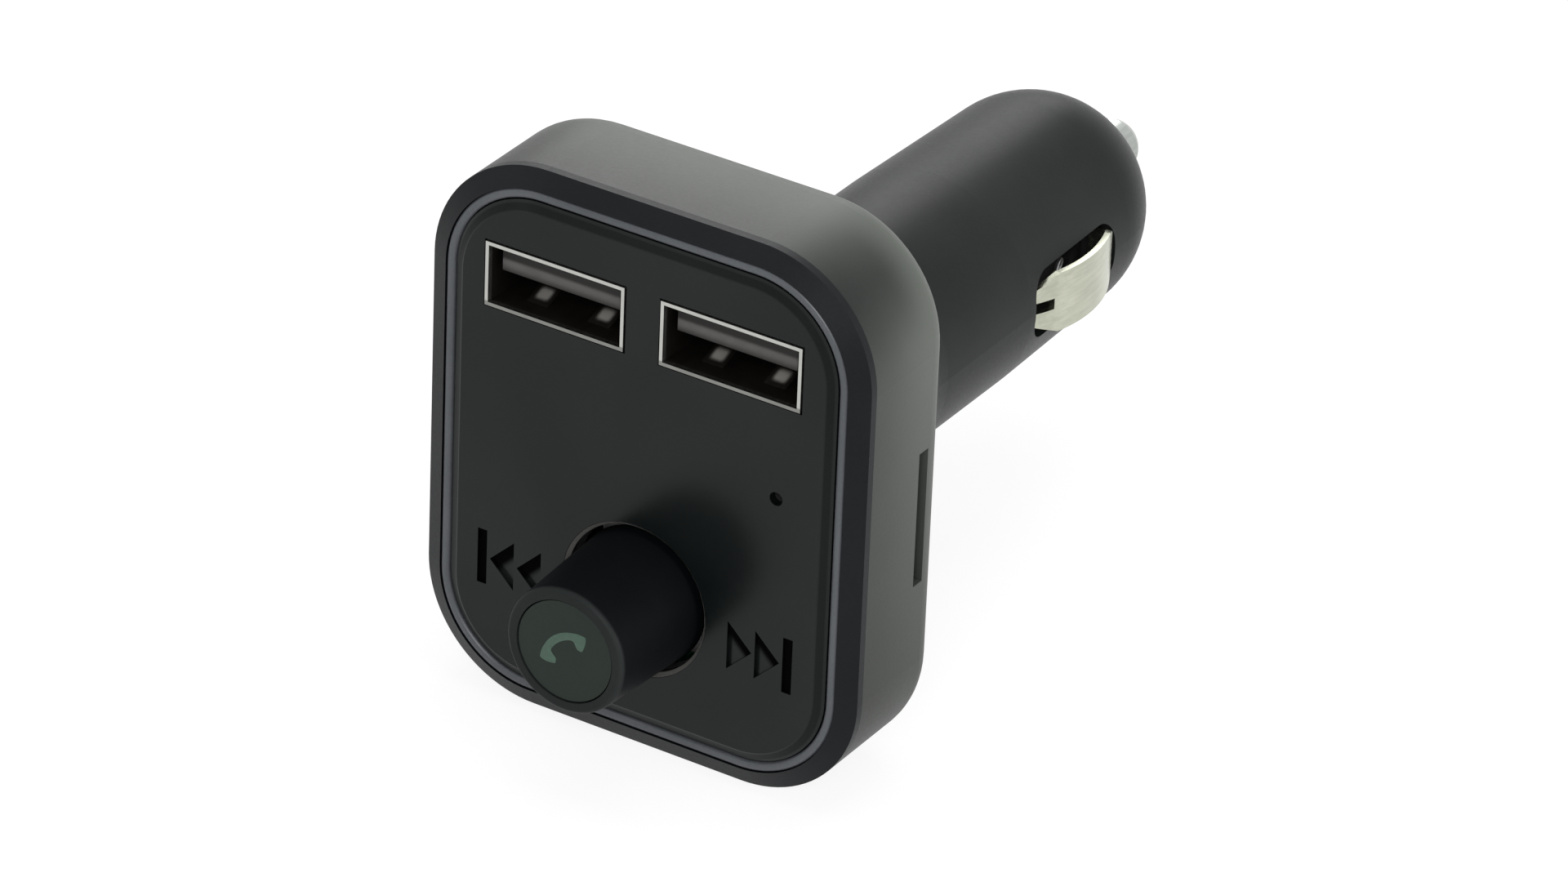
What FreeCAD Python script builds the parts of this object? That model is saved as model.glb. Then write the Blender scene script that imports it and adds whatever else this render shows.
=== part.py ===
import FreeCAD, Part
import math
import os
import re

import Sketcher

# Car FM transmitter: a head with two charging ports, a display and a call knob, on a plug for a 12 V socket.
# Millimetres. X to the right of the face, Y back along the plug, Z up.
# The origin is on the plug's axis, where the straight wall that the socket holds begins.

SIZES = (
    # Head, seen from the front
    ("head_width", "41.0"),
    ("head_height", "48.8"),
    ("head_corner", "10.5"),
    ("head_depth", "12.6"),
    ("head_wall", "1.6"),
    ("back_wall", "1.5"),
    ("back_round", "2.5"),
    ("face_rise", "0.85"),
    ("seat_to_face", "30.0"),
    # Bezel, trim ring and the two layers of the face
    ("rim_width", "1.65"),
    ("rim_drop", "0.85"),
    ("rim_depth", "1.6"),
    ("lip_wall", "0.85"),
    ("skirt_gap", "0.1"),
    ("skirt_depth", "3.9"),
    ("skirt_wall", "1.6"),
    ("skirt_end_gap", "0.2"),
    ("ledge_width", "1.6"),
    ("ledge_depth", "1.8"),
    ("ledge_thickness", "1.2"),
    ("catch_length", "9.0"),
    ("catch_height", "0.35"),
    ("catch_thickness", "1.0"),
    ("catch_setback", "1.6"),
    ("catch_gap", "0.1"),
    ("ring_width", "0.9"),
    ("ring_gap", "0.04"),
    ("ring_round", "0.35"),
    ("panel_gap", "0.06"),
    ("overlay_thickness", "0.8"),
    ("overlay_proud", "0.3"),
    ("overlay_bevel", "0.9"),
    ("overlay_drop", "0.45"),
    ("post_radius", "1.2"),
    ("right_post_rise", "8.2"),
    ("left_post_drop", "5.2"),
    ("lower_post_margin", "9.5"),
    ("lower_post_drop", "17.8"),
    # Plug, neck and nose
    ("plug_radius", "10.2"),
    ("plug_wall", "1.6"),
    ("straight_length", "13.0"),
    ("neck_angle", "15.0"),
    ("neck_blend", "14.0"),
    ("neck_fillet", "3.0"),
    ("neck_bore", "11.0"),
    ("plug_draft", "0.4"),
    ("nose_start", "29.5"),
    ("nose_land", "3.6"),
    ("nose_floor", "1.5"),
    # Centre contact and its spring
    ("tip_radius", "2.4"),
    ("tip_dome", "1.7"),
    ("tip_gap", "0.2"),
    ("tip_reach", "6.4"),
    ("tip_flange", "4.1"),
    ("tip_flange_thickness", "1.2"),
    ("tip_stop_gap", "0.05"),
    ("tip_guide", "1.7"),
    ("tip_guide_length", "3.0"),
    ("tip_travel", "2.5"),
    ("chamber_gap", "0.3"),
    ("chamber_depth", "3.5"),
    ("tip_spring_radius", "2.45"),
    ("tip_spring_wire", "0.3"),
    ("tip_spring_length", "12.0"),
    # Side contacts and their springs
    ("contact_centre", "20.4"),
    ("contact_length", "12.4"),
    ("contact_width", "5.5"),
    ("contact_front_width", "3.4"),
    ("contact_taper", "2.4"),
    ("contact_round", "1.8"),
    ("contact_proud", "1.05"),
    ("contact_rise", "1.5"),
    ("contact_sheet", "0.5"),
    ("contact_notch", "1.0"),
    ("contact_notch_depth", "1.9"),
    ("contact_ear", "1.2"),
    ("contact_ear_gap", "0.35"),
    ("contact_travel", "1.5"),
    ("slot_gap", "0.4"),
    ("side_spring_radius", "1.35"),
    ("side_spring_wire", "0.22"),
    ("side_spring_seat", "4.4"),
    ("spring_end_gap", "0.12"),
    ("spring_gap", "0.25"),
    # Contact carrier
    ("carrier_gap", "0.15"),
    ("carrier_front", "9.7"),
    ("carrier_floor_gap", "0.35"),
    ("board_pocket", "1.5"),
    ("rivet_shank", "1.0"),
    ("rivet_head", "0.5"),
    # Main board
    ("board_thickness", "1.0"),
    ("board_edge_gap", "0.6"),
    # Charging ports
    ("usb_share", "0.4025"),
    ("usb_rise", "14.3"),
    ("usb_width", "13.1"),
    ("usb_height", "5.7"),
    ("usb_sheet", "0.3"),
    ("usb_proud", "0.1"),
    ("usb_window_gap", "0.15"),
    ("usb_block_depth", "1.6"),
    ("usb_fit", "0.05"),
    ("tongue_width", "11.1"),
    ("tongue_thickness", "1.84"),
    ("tongue_lift", "0.15"),
    ("tongue_setback", "1.0"),
    ("pad_width", "1.1"),
    ("pad_pitch", "2.3"),
    ("pad_sheet", "0.2"),
    ("pad_setback", "0.8"),
    ("tab_width", "2.0"),
    ("tab_spread", "2.9"),
    ("tab_height", "0.9"),
    ("tab_start", "1.6"),
    ("tab_length", "4.0"),
    # Call knob and encoder
    ("knob_drop", "10.6"),
    ("knob_hole", "6.5"),
    ("knob_hole_bevel", "0.35"),
    ("knob_base", "6.0"),
    ("knob_front", "5.5"),
    ("knob_reach", "10.2"),
    ("knob_tuck", "1.0"),
    ("knob_round", "0.45"),
    ("knob_wall", "1.2"),
    ("knob_top", "1.4"),
    ("knob_core", "3.3"),
    ("knob_core_gap", "0.02"),
    ("lens_radius", "4.4"),
    ("lens_gap", "0.12"),
    ("lens_thickness", "0.8"),
    ("lens_setback", "0.12"),
    ("encoder_width", "11.8"),
    ("encoder_height", "6.0"),
    ("encoder_roof", "1.3"),
    ("bush_radius", "3.4"),
    ("bush_reach", "1.6"),
    ("shaft_radius", "2.0"),
    ("shaft_gap", "0.05"),
    ("shaft_flat", "0.6"),
    ("shaft_tail", "0.4"),
    ("rotor_radius", "4.4"),
    ("rotor_thickness", "2.2"),
    ("rotor_gap", "0.12"),
    ("press_travel", "0.5"),
    ("press_gap", "0.1"),
    ("dome_radius", "2.2"),
    ("dome_thickness", "0.3"),
    # Keys behind the two track marks
    ("key_drop", "11.6"),
    ("key_width", "6.0"),
    ("key_base", "3.5"),
    ("key_plunger", "1.7"),
    ("key_gap", "0.1"),
    ("lever_clear", "1.5"),
    ("lever_margin", "4.6"),
    ("lever_height", "6.4"),
    ("lever_slit", "0.5"),
    ("mark_depth", "0.4"),
    ("mark_triangle", "2.3"),
    ("mark_height", "4.4"),
    ("mark_bar", "0.9"),
    ("mark_bar_height", "5.0"),
    ("mark_gap", "0.3"),
    # Display
    ("display_width", "20.0"),
    ("display_height", "10.0"),
    ("display_depth", "6.5"),
    ("display_clear", "1.1"),
    ("display_rise", "4.2"),
    ("display_setback", "0.2"),
    ("display_gap", "0.2"),
    ("display_pin", "0.6"),
    ("display_pin_pitch", "2.54"),
    # Microphone
    ("mic_margin", "7.6"),
    ("mic_rise", "3.1"),
    ("mic_hole", "0.6"),
    ("mic_radius", "2.0"),
    ("mic_depth", "1.6"),
    ("boot_wall", "0.8"),
    ("boot_lip", "0.5"),
    # Memory card socket
    ("card_slot_width", "12.1"),
    ("card_slot_height", "1.3"),
    ("card_drop", "0.45"),
    ("socket_clear", "1.4"),
    ("socket_edge_gap", "0.3"),
    ("socket_base", "0.4"),
    ("socket_sheet", "0.25"),
    ("socket_fit", "0.05"),
    # Chips on the main board
    ("radio_chip_width", "5.0"),
    ("tuner_chip_width", "4.0"),
    ("chip_height", "0.9"),
    ("chip_margin", "6.5"),
    ("radio_chip_rise", "5.0"),
    ("tuner_chip_drop", "0.6"),
    # Power board in the plug
    ("power_margin", "1.1"),
    ("power_thickness", "1.2"),
    ("power_drop", "0.8"),
    ("power_gap", "0.05"),
    ("power_setback", "0.6"),
    ("header_width", "10.16"),
    ("header_size", "2.5"),
    ("coil_radius", "4.0"),
    ("coil_core", "2.4"),
    ("coil_height", "5.0"),
    ("coil_flange", "0.9"),
    ("coil_place", "8.0"),
    ("can_radius", "2.5"),
    ("can_length", "7.0"),
    ("can_place", "15.0"),
    ("can_spread", "2.8"),
    ("converter_length", "5.0"),
    ("converter_width", "4.0"),
    ("converter_height", "1.5"),
    ("converter_place", "8.0"),
)

NAME = re.compile(r"\b[a-z][a-z_]*[a-z]\b(?!\()")

doc = FreeCAD.newDocument("CarTransmitter")
sheet = doc.addObject("Spreadsheet::Sheet", "Sizes")
for row, (alias, amount) in enumerate(SIZES, start=1):
    sheet.set(f"A{row}", alias)
    sheet.set(f"B{row}", amount)
    sheet.setAlias(f"B{row}", alias)
sheet.recompute()
working = doc.addObject("Spreadsheet::Sheet", "Working")


def bound(text):
    """A formula written with the names of sizes, as an expression on the sheet of sizes."""
    return NAME.sub(lambda match: "Sizes." + match.group(0), str(text))


def number(text):
    """The present value of a formula, worked out in a cell of the working sheet."""
    working.set("A1", "=" + bound(text))
    working.recompute()
    return float(working.get("A1"))


def behind(text):
    """The place along Y of something that lies the given distance behind the face."""
    return f"{text} - seat_to_face"


# Places along Y that several pieces share
OVERLAY_BACK = "overlay_thickness - overlay_proud"
BOARD_BACK = "head_depth - back_wall"
BOARD_FRONT = f"{BOARD_BACK} - board_thickness"
CARD_LINE = f"{BOARD_FRONT} - socket_base - card_slot_height / 2 + socket_sheet / 2"
ENCODER_FRONT = f"{BOARD_FRONT} - encoder_height"
PLUG_BORE = "plug_radius - plug_wall"
WINDOW_HALF = "(head_width / 2 - rim_width - ring_width - ledge_width)"
USB_SPACING = "usb_share * head_width"
LEVER_INNER = "(knob_hole + lever_clear)"
LEVER_OUTER = "(head_width / 2 - lever_margin)"
KEY_SPREAD = f"({LEVER_INNER} + {LEVER_OUTER}) / 2"
MIC_SHIFT = "head_width / 2 - mic_margin"
DISPLAY_MIDDLE = f"({MIC_SHIFT} - mic_radius - boot_wall - display_clear - display_width / 2)"
POWER_WIDTH = "(2 * (plug_radius - plug_wall - power_margin))"
NOSE_RADIUS = "(plug_radius - plug_draft)"
CONTACT_CROWN = "(plug_radius + contact_proud)"
NOSE_END = f"nose_start + sqrt({NOSE_RADIUS} ^ 2 - nose_land ^ 2)"
BORE_END = "nose_start + nose_floor"
CHAMBER_END = f"{BORE_END} + chamber_depth"
FLANGE_BACK = f"{CHAMBER_END} - tip_stop_gap - tip_flange_thickness"
CARRIER_FRONT = "contact_centre - carrier_front"
POWER_END = f"{CARRIER_FRONT} + board_pocket - power_gap"
POWER_START = f"{BOARD_BACK} + power_setback - seat_to_face"


def new_body(label):
    """An empty body that becomes one sub-part."""
    return doc.addObject("PartDesign::Body", label)


def sketch(body, plane, station="0"):
    """A sketch on one of the body's own planes; XZ stations count along Y, others along their normals."""
    item = body.newObject("Sketcher::SketchObject", f"{body.Name}_sketch")
    support = next(part for part in body.Origin.OriginFeatures if part.Role == f"{plane}_Plane")
    item.AttachmentSupport = [(support, "")]
    item.MapMode = "FlatFace"
    offset = f"-({station})" if plane == "XZ" else station
    item.setExpression("AttachmentOffset.Base.z", bound(offset))
    return item


def arc_between(start, end, radius, turn):
    """The short arc from start to end; turn is 1 for anticlockwise and -1 for clockwise."""
    chord = end - start
    reach = math.sqrt(max(radius ** 2 - (chord.Length / 2) ** 2, 0.0))
    left = FreeCAD.Vector(-chord.y, chord.x, 0).normalize()
    centre = (start + end) * 0.5 + left * reach * turn
    first, last = (start, end) if turn > 0 else (end, start)
    begin = math.atan2(first.y - centre.y, first.x - centre.x)
    finish = math.atan2(last.y - centre.y, last.x - centre.x)
    circle = Part.Circle(centre, FreeCAD.Vector(0, 0, 1), radius)
    return Part.ArcOfCircle(circle, begin, finish)


def outline(item, corners, arcs=None):
    """A closed outline; corners are pairs of formulas, arcs give an edge's number its radius and turn."""
    arcs = arcs or {}
    points = [FreeCAD.Vector(number(x), number(y), 0) for x, y in corners]
    edges = []
    for index, start in enumerate(points):
        end = points[(index + 1) % len(points)]
        if index in arcs:
            radius, turn = arcs[index]
            curve = arc_between(start, end, number(radius), turn)
            edges.append((item.addGeometry(curve, False), (1, 2) if turn > 0 else (2, 1)))
        else:
            edges.append((item.addGeometry(Part.LineSegment(start, end), False), (1, 2)))
    for index, (edge, ends) in enumerate(edges):
        after, after_ends = edges[(index + 1) % len(edges)]
        item.addConstraint(Sketcher.Constraint("Coincident", edge, ends[1], after, after_ends[0]))
    for index, (edge, ends) in enumerate(edges):
        for kind, value, text in zip(("DistanceX", "DistanceY"), points[index], corners[index]):
            place = item.addConstraint(Sketcher.Constraint(kind, -1, 1, edge, ends[0], value))
            item.setExpression(f"Constraints[{place}]", bound(text))
        if index in arcs:
            radius = arcs[index][0]
            place = item.addConstraint(Sketcher.Constraint("Radius", edge, number(radius)))
            item.setExpression(f"Constraints[{place}]", bound(radius))
    return item


def rectangle(item, width, height, x="0", y="0"):
    """A rectangle of formulas about a centre."""
    left, right = f"{x} - ({width}) / 2", f"{x} + ({width}) / 2"
    low, high = f"{y} - ({height}) / 2", f"{y} + ({height}) / 2"
    return outline(item, ((left, low), (right, low), (right, high), (left, high)))


def rounded(item, width, height, radius, x="0", y="0"):
    """A rectangle with round corners about a centre."""
    left, right = f"{x} - ({width}) / 2", f"{x} + ({width}) / 2"
    low, high = f"{y} - ({height}) / 2", f"{y} + ({height}) / 2"
    corners = (
        (f"{left} + {radius}", low), (f"{right} - ({radius})", low),
        (right, f"{low} + {radius}"), (right, f"{high} - ({radius})"),
        (f"{right} - ({radius})", high), (f"{left} + {radius}", high),
        (left, f"{high} - ({radius})"), (left, f"{low} + {radius}"),
    )
    return outline(item, corners, {edge: (radius, 1) for edge in (1, 3, 5, 7)})


def head_outline(item, inset):
    """The head's outline drawn in by a distance, about the centre of the face."""
    return rounded(item, f"head_width - 2 * ({inset})", f"head_height - 2 * ({inset})",
                   f"(head_corner - ({inset}))", "0", "face_rise")


def circle(item, radius, x="0", y="0"):
    """A circle of a bound radius about a bound centre."""
    centre = FreeCAD.Vector(number(x), number(y), 0)
    edge = item.addGeometry(Part.Circle(centre, FreeCAD.Vector(0, 0, 1), number(radius)), False)
    for kind, value, text in (("DistanceX", centre.x, x), ("DistanceY", centre.y, y)):
        place = item.addConstraint(Sketcher.Constraint(kind, -1, 1, edge, 3, value))
        item.setExpression(f"Constraints[{place}]", bound(text))
    place = item.addConstraint(Sketcher.Constraint("Radius", edge, number(radius)))
    item.setExpression(f"Constraints[{place}]", bound(radius))
    return item


def feature(body, kind, profile, length, reverse):
    """A pad or a pocket of a sketch."""
    item = body.newObject(f"PartDesign::{kind}", f"{body.Name}_{kind.lower()}")
    item.Profile = profile
    item.Reversed = reverse
    item.setExpression("Length", bound(length))
    doc.recompute([item], True)
    return item


def pad_back(body, profile, length):
    """Material from a front-view sketch towards the back."""
    return feature(body, "Pad", profile, length, True)


def pad(body, profile, length):
    """Material along the sketch's normal."""
    return feature(body, "Pad", profile, length, False)


def pocket(body, profile, length, reverse=False):
    """A cut that has to take material away."""
    before = body.Tip.Shape.Volume
    item = feature(body, "Pocket", profile, length, reverse)
    if item.Shape.Volume > before - 1e-6:
        raise RuntimeError(f"a pocket of {body.Label} cuts nothing")
    return item


def turned(body, corners, arcs=None, kind="Revolution"):
    """A profile of radius and height turned about the body's Y axis, added or cut away."""
    profile = outline(sketch(body, "XY"), corners, arcs)
    item = body.newObject(f"PartDesign::{kind}", f"{body.Name}_{kind.lower()}")
    item.Profile = profile
    item.ReferenceAxis = (profile, ["V_Axis"])
    doc.recompute([item], True)
    return item


def level_edges(shape, height):
    """The names of the edges that lie flat at one place along Y."""
    found = []
    for index, edge in enumerate(shape.Edges, start=1):
        box = edge.BoundBox
        if abs(box.YMin - height) < 1e-4 and abs(box.YMax - height) < 1e-4:
            found.append(f"Edge{index}")
    return found


def rounding(body, names, radius):
    """A fillet on named edges of the body's last feature."""
    base = body.Tip
    item = body.newObject("PartDesign::Fillet", f"{body.Name}_fillet")
    item.Base = (base, names)
    item.setExpression("Radius", bound(radius))
    doc.recompute([item], True)
    return item


def place(item, x="0", y="0", z="0"):
    """The bound place of a sub-part."""
    for axis, text in zip("xyz", (x, y, z)):
        item.setExpression(f"Placement.Base.{axis}", bound(text))
    return item


def box(label, size, corner):
    """A block of bound size from its lowest corner."""
    item = doc.addObject("Part::Box", label)
    for name, text in zip(("Length", "Width", "Height"), size):
        item.setExpression(name, bound(text))
    return place(item, *corner)


def group(label, items):
    """Separate like solids that share one node."""
    item = doc.addObject("Part::Compound", label)
    item.Links = items
    return item


def coil(label, mean_radius, wire_radius, start, end, turns):
    """A spring along Z: half turns that each rise half a pitch, of square wire."""
    middle_radius, wire = number(mean_radius), number(wire_radius)
    low, high = number(start) + wire, number(end) - wire
    rise = (high - low) / (2 * turns)
    bulge = math.hypot(middle_radius, rise / 2)
    edges = []
    for half in range(2 * turns):
        side = 1 if half % 2 == 0 else -1
        base = low + half * rise
        points = (FreeCAD.Vector(side * middle_radius, 0, base),
                  FreeCAD.Vector(0, side * bulge, base + rise / 2),
                  FreeCAD.Vector(-side * middle_radius, 0, base + rise))
        edges.append(Part.Arc(*points).toShape())
    ring = [FreeCAD.Vector(middle_radius + out * wire, 0, low + up * wire)
            for out, up in ((-1, -1), (1, -1), (1, 1), (-1, 1), (-1, -1))]
    item = doc.addObject("Part::Feature", label)
    item.Shape = Part.Wire(edges).makePipeShell([Part.makePolygon(ring)], True, True)
    return item


def make_rear_shell():
    """The back of the head, the neck, the plug and its round nose, moulded in one."""
    body = new_body("rear_shell")
    slab_front, slab_back = behind("rim_depth"), behind("head_depth")
    pad_back(body, head_outline(sketch(body, "XZ", slab_front), "0"), "head_depth - rim_depth")
    rounding(body, level_edges(body.Tip.Shape, number(slab_back)), "back_round")
    blend_radius = "plug_radius + neck_blend * (1 - cos(neck_angle))"
    blend_start = "-neck_blend * sin(neck_angle)"
    neck_radius = f"{blend_radius} + ({blend_start} - ({slab_back})) * tan(neck_angle)"
    root = f"{behind(BOARD_BACK)}"
    turned(body, (
        ("0", root), (neck_radius, root), (neck_radius, slab_back), (blend_radius, blend_start),
        ("plug_radius", "0"), ("plug_radius", "straight_length"), (NOSE_RADIUS, "nose_start"),
        ("nose_land", NOSE_END), ("0", NOSE_END),
    ), {3: ("neck_blend", -1), 6: (NOSE_RADIUS, 1)})
    joint = [name for name in level_edges(body.Tip.Shape, number(slab_back))
             if abs(body.Tip.Shape.getElement(name).BoundBox.XMax - number(neck_radius)) < 0.01]
    rounding(body, joint, "neck_fillet")
    pocket(body, head_outline(sketch(body, "XZ", slab_front), "head_wall"),
           f"{BOARD_BACK} - rim_depth")
    pocket(body, head_outline(sketch(body, "XZ", slab_front), "lip_wall"), "skirt_depth + skirt_end_gap")
    turned(body, (
        ("0", behind(f"{BOARD_BACK} - board_thickness")),
        ("neck_bore", behind(f"{BOARD_BACK} - board_thickness")), ("neck_bore", slab_back),
        (PLUG_BORE, "0"), (PLUG_BORE, BORE_END), ("tip_flange + chamber_gap", BORE_END),
        ("tip_flange + chamber_gap", CHAMBER_END), ("tip_radius + tip_gap", CHAMBER_END),
        ("tip_radius + tip_gap", f"{NOSE_END} + 1"), ("0", f"{NOSE_END} + 1"),
    ), kind="Groove")
    for away in (False, True):
        slot = rounded(sketch(body, "YZ"), "contact_length + 2 * slot_gap", "contact_width + 2 * slot_gap",
                       "(contact_round + slot_gap)", "contact_centre", "0")
        pocket(body, slot, "plug_radius + plug_wall", away)
    card = sketch(body, "YZ", "head_width / 2 + head_wall")
    rectangle(card, "card_slot_height", "card_slot_width", behind(f"({CARD_LINE})"), "face_rise - card_drop")
    pocket(body, card, "3 * head_wall")
    groove = sketch(body, "XZ", behind("rim_depth + catch_setback - catch_gap"))
    recess = "lip_wall - catch_height - catch_gap + skirt_gap"
    rectangle(groove, "catch_length + 2 * catch_gap", f"head_height - 2 * ({recess})", "0", "face_rise")
    pocket(body, groove, "catch_thickness + 2 * catch_gap")
    return body


def make_front_bezel():
    """The frame of the face: a bevelled rim, a seat for ring and face, and a skirt with two catches."""
    body = new_body("front_bezel")
    wide = head_outline(sketch(body, "XZ", behind("rim_drop")), "0")
    pad_back(body, wide, "rim_depth - rim_drop")
    bevel = body.newObject("PartDesign::AdditiveLoft", "front_bezel_bevel")
    bevel.Profile = head_outline(sketch(body, "XZ", behind("rim_drop")), "0")
    bevel.Sections = [head_outline(sketch(body, "XZ", "-seat_to_face"), "rim_width")]
    bevel.Ruled = True
    doc.recompute([bevel], True)
    skirt = head_outline(sketch(body, "XZ", behind("rim_depth")), "lip_wall + skirt_gap")
    pad_back(body, skirt, "skirt_depth")
    catches = sketch(body, "XZ", behind("rim_depth + catch_setback"))
    reach = "lip_wall + skirt_gap - catch_height"
    rectangle(catches, "catch_length", f"head_height - 2 * ({reach})", "0", "face_rise")
    pad_back(body, catches, "catch_thickness")
    seat = head_outline(sketch(body, "XZ", "-seat_to_face"), "rim_width")
    pocket(body, seat, "ledge_depth")
    window = head_outline(sketch(body, "XZ", "-seat_to_face"), "rim_width + ring_width + ledge_width")
    pocket(body, window, "rim_depth + skirt_depth")
    hollow = head_outline(sketch(body, "XZ", behind("ledge_depth + ledge_thickness")),
                          "lip_wall + skirt_gap + skirt_wall")
    pocket(body, hollow, "skirt_depth")
    return body


def make_trim_ring():
    """The grey line round the face: a ring with a rounded front, pressed between rim and face."""
    body = new_body("trim_ring")
    ring = sketch(body, "XZ", "-seat_to_face")
    head_outline(ring, "rim_width + ring_gap")
    head_outline(ring, "rim_width + ring_width - ring_gap")
    pad_back(body, ring, "ledge_depth")
    rounding(body, level_edges(body.Tip.Shape, number("-seat_to_face")), "ring_round")
    return body


def face_inset():
    """How far the face lies inside the head's outline."""
    return "(rim_width + ring_width + panel_gap)"


def key_corners(sign):
    """The three-sided slit that frees a key lever from the panel, open towards the face's middle."""
    outer = f"{sign} * {LEVER_OUTER}"
    inner = f"{sign} * {LEVER_INNER}"
    outside = f"{sign} * ({LEVER_OUTER} + lever_slit)"
    middle = "face_rise - key_drop"
    low, high = f"{middle} - lever_height / 2", f"{middle} + lever_height / 2"
    corners = [
        (inner, f"{low} - lever_slit"), (outside, f"{low} - lever_slit"), (outside, f"{high} + lever_slit"),
        (inner, f"{high} + lever_slit"), (inner, high), (outer, high), (outer, low), (inner, low),
    ]
    return corners if sign > 0 else corners[::-1]


def track_mark(item, sign):
    """The outlines of a track mark: two triangles that point away from the knob and a bar at their end."""
    middle = "face_rise - key_drop"
    pitch = "(mark_triangle + mark_gap)"
    start = f"({KEY_SPREAD} - (2 * {pitch} + mark_bar) / 2)"
    low, high = f"{middle} - mark_height / 2", f"{middle} + mark_height / 2"
    for step in (0, 1):
        base = f"({start} + {step} * {pitch})"
        corners = [(f"{sign} * {base}", low), (f"{sign} * ({base} + mark_triangle)", middle),
                   (f"{sign} * {base}", high)]
        outline(item, corners if sign > 0 else corners[::-1])
    bar_line = f"{sign} * ({start} + 2 * {pitch} + mark_bar / 2)"
    rectangle(item, "mark_bar", "mark_bar_height", bar_line, middle)


def make_front_panel():
    """The moulded plate behind the face, with windows, two key levers and four posts to the board."""
    body = new_body("front_panel")
    start = behind(OVERLAY_BACK)
    depth = f"ledge_depth - ({OVERLAY_BACK})"
    pad_back(body, head_outline(sketch(body, "XZ", start), face_inset()), depth)
    posts = sketch(body, "XZ", behind("ledge_depth"))
    display_side = f"{DISPLAY_MIDDLE} + display_width / 2 + display_gap"
    circle(posts, "post_radius", f"({display_side} + {WINDOW_HALF}) / 2", "face_rise + right_post_rise")
    circle(posts, "post_radius", "chip_margin - head_width / 2", "face_rise - left_post_drop")
    for sign in (-1, 1):
        circle(posts, "post_radius", f"{sign} * (head_width / 2 - lower_post_margin)",
               "face_rise - lower_post_drop")
    pad_back(body, posts, f"{BOARD_FRONT} - ledge_depth")
    openings = sketch(body, "XZ", start)
    for sign in (-1, 1):
        rectangle(openings, "usb_width + 2 * usb_window_gap", "usb_height + 2 * usb_window_gap",
                  f"{sign} * {USB_SPACING} / 2", "face_rise + usb_rise")
        outline(openings, key_corners(sign))
    rectangle(openings, "display_width + 2 * display_gap", "display_height + 2 * display_gap",
              DISPLAY_MIDDLE, "face_rise + display_rise")
    circle(openings, "knob_hole", "0", "face_rise - knob_drop")
    circle(openings, "mic_hole", MIC_SHIFT, "face_rise + mic_rise")
    pocket(body, openings, depth)
    return body


def make_face_overlay():
    """The smoked face over display and keys, with a bevelled edge and openings for ports, knob and mic."""
    body = new_body("face_overlay")
    front = behind("-overlay_proud")
    edge = behind("overlay_drop - overlay_proud")
    pad_back(body, head_outline(sketch(body, "XZ", edge), face_inset()), "overlay_thickness - overlay_drop")
    bevel = body.newObject("PartDesign::AdditiveLoft", "face_overlay_bevel")
    bevel.Profile = head_outline(sketch(body, "XZ", edge), face_inset())
    bevel.Sections = [head_outline(sketch(body, "XZ", front), f"{face_inset()} + overlay_bevel")]
    bevel.Ruled = True
    doc.recompute([bevel], True)
    openings = sketch(body, "XZ", front)
    for sign in (-1, 1):
        rectangle(openings, "usb_width + 2 * usb_window_gap", "usb_height + 2 * usb_window_gap",
                  f"{sign} * {USB_SPACING} / 2", "face_rise + usb_rise")
    circle(openings, "knob_hole", "0", "face_rise - knob_drop")
    circle(openings, "mic_hole", MIC_SHIFT, "face_rise + mic_rise")
    pocket(body, openings, "overlay_thickness")
    marks = sketch(body, "XZ", front)
    for sign in (-1, 1):
        track_mark(marks, sign)
    pocket(body, marks, "mark_depth")
    rim = [name for name in level_edges(body.Tip.Shape, number(front))
           if abs(body.Tip.Shape.getElement(name).BoundBox.XLength - 2 * number("knob_hole")) < 0.01]
    base = body.Tip
    bevelled = body.newObject("PartDesign::Chamfer", "face_overlay_chamfer")
    bevelled.Base = (base, rim)
    bevelled.setExpression("Size", bound("knob_hole_bevel"))
    doc.recompute([bevelled], True)
    return body


def make_main_board():
    """The circuit board that fills the head, against the shell's back wall."""
    body = new_body("main_board")
    plate = head_outline(sketch(body, "XZ", behind(BOARD_FRONT)), "head_wall + board_edge_gap")
    pad_back(body, plate, "board_thickness")
    return body


def make_board_chips():
    """The radio and tuner chips on the front of the main board."""
    chips = []
    for width, height in (("radio_chip_width", "radio_chip_rise"), ("tuner_chip_width", "-tuner_chip_drop")):
        left = f"chip_margin - head_width / 2 - {width} / 2"
        corner = (left, behind(f"{BOARD_FRONT} - chip_height"), f"face_rise + {height} - {width} / 2")
        chips.append(box(f"{width}_block", (width, "chip_height", width), corner))
    return group("board_chips", chips)


def make_display_module():
    """The numeral display: a block behind the smoked face, on two rows of pins."""
    body = new_body("display_module")
    front = behind(f"{OVERLAY_BACK} + display_setback")
    middle = "face_rise + display_rise"
    face = rectangle(sketch(body, "XZ", front), "display_width", "display_height", DISPLAY_MIDDLE, middle)
    pad_back(body, face, "display_depth")
    pins = sketch(body, "XZ", f"{front} + display_depth")
    for row in (-1, 1):
        for column in (-1, 0, 1):
            across = f"{DISPLAY_MIDDLE} + {column} * 2 * display_pin_pitch"
            level = f"{middle} + {row} * (display_height / 2 - display_pin)"
            rectangle(pins, "display_pin", "display_pin", across, level)
    pad_back(body, pins, f"{BOARD_FRONT} - ({OVERLAY_BACK}) - display_setback - display_depth")
    return body


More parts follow.
